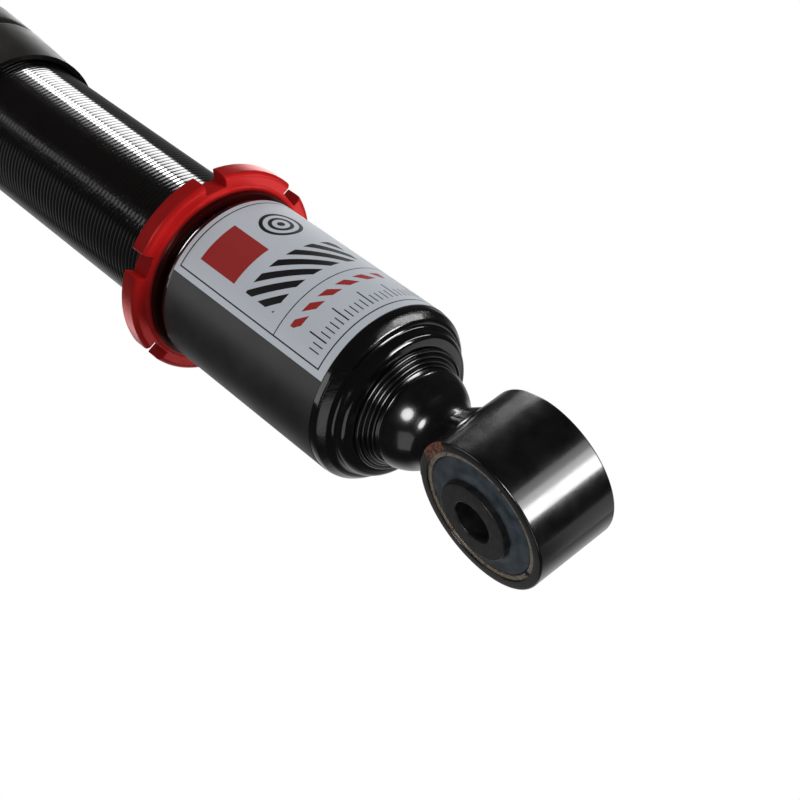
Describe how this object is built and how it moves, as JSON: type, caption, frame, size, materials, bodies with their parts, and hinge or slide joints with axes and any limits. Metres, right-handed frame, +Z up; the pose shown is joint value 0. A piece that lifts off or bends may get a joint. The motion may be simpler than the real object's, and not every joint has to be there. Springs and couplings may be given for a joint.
{
  "type": "coilover damper",
  "caption": "Height-adjustable threaded monotube damper with lower bush eye, notched lock ring, dust boot, gas-charged body and spherical-bearing top mount.",
  "frame": {"origin": "centre of the lower eye's bore", "axes": "+Z up the damper axis to the top mount, Y along the lower bolt, X square to both"},
  "size_m": [0.1, 0.0756, 0.5551],
  "materials": {
    "gloss_black_paint": "gloss black stoving paint",
    "black_thread": "black coated thread",
    "raw_sleeve_steel": "bare steel, slightly rusty",
    "bush_rubber": "matt blue-grey rubber",
    "black_sleeve": "satin black phosphate",
    "red_anodised": "red anodised",
    "boot_rubber": "satin dark grey rubber",
    "plain_steel": "turned steel",
    "zinc_steel": "zinc plated",
    "brass": "turned brass",
    "bronze_bush": "sintered bronze",
    "seal_rubber": "black nitrile rubber",
    "piston_band": "filled PTFE",
    "aluminium": "turned aluminium",
    "hard_chrome": "hard chrome, ground",
    "stop_foam": "cellular polyurethane",
    "black_anodised": "black anodised",
    "bearing_steel": "ground bearing steel"
  },
  "bodies": {
    "lower_mount": {"eye_ring": "gloss_black_paint", "stem_weld": "gloss_black_paint", "eye_stem": "gloss_black_paint", "bracket_shell": "gloss_black_paint", "bush_outer_sleeve": "raw_sleeve_steel", "bush_rubber": "bush_rubber"},
    "bush_sleeve": {"bush_inner_sleeve": "black_sleeve"},
    "lock_ring": {"lock_ring": "red_anodised"},
    "damper_body": {"body_tube": "black_thread", "base_plug": "plain_steel", "base_oring": "seal_rubber", "gas_valve": "brass", "seal_head": "aluminium", "guide_bush": "bronze_bush", "rod_seal": "seal_rubber", "wiper_seal": "seal_rubber", "seal_head_oring": "seal_rubber", "retaining_ring": "zinc_steel", "body_cap": "black_anodised", "dust_boot": "boot_rubber"},
    "floating_piston": {"floating_piston": "aluminium", "floating_oring": "seal_rubber"},
    "rod": {"piston_rod": "hard_chrome", "piston": "plain_steel", "piston_band": "piston_band", "compression_shims": "zinc_steel", "rebound_shims": "zinc_steel", "piston_nut": "zinc_steel", "rebound_stop": "stop_foam", "bump_stop": "stop_foam", "boot_plate": "black_anodised", "lower_spacer": "zinc_steel", "bearing_ball": "bearing_steel", "upper_spacer": "zinc_steel", "top_nut": "zinc_steel"},
    "adjuster": {"adjuster_knob": "red_anodised", "needle_rod": "plain_steel"},
    "top_mount": {"mount_plate": "black_anodised", "bearing_race": "bearing_steel", "bearing_circlip": "plain_steel", "mount_studs": "zinc_steel"}
  },
  "joints": [
    {"name": "bush_twist", "type": "hinge", "parent": "lower_mount", "child": "bush_sleeve", "pos_m": [0, 0, 0], "axis": [0, 1, 0], "range_deg": [-20, 20], "stiffness_Nm_per_rad": 20},
    {"name": "lock_ring_turn", "type": "hinge", "parent": "lower_mount", "child": "lock_ring", "pos_m": [0, 0, 0.145], "axis": [0, 0, 1], "continuous": true},
    {"name": "height_adjust", "type": "slide", "parent": "lower_mount", "child": "damper_body", "axis": [0, 0, 1], "range_m": [-0.013, 0.04]},
    {"name": "rod_slide", "type": "slide", "parent": "damper_body", "child": "rod", "axis": [0, 0, 1], "range_m": [-0.095, 0], "stiffness_N_per_m": 500, "springref_m": 0.3, "deforming": ["dust_boot"]},
    {"name": "floating_piston_slide", "type": "slide", "parent": "damper_body", "child": "floating_piston", "axis": [0, 0, 1], "range_m": [-0.01, 0]},
    {"name": "adjuster_turn", "type": "hinge", "parent": "rod", "child": "adjuster", "pos_m": [0, 0, 0.52], "axis": [0, 0, 1], "range_deg": [0, 720]},
    {"name": "top_tilt", "type": "hinge", "parent": "rod", "child": "top_mount", "pos_m": [0, 0, 0.494], "axis": [0, 1, 0], "range_deg": [-10, 10]}
  ],
  "couplings": [
    {"joint": "floating_piston_slide", "follows": "rod_slide", "ratio": 0.10124}
  ]
}
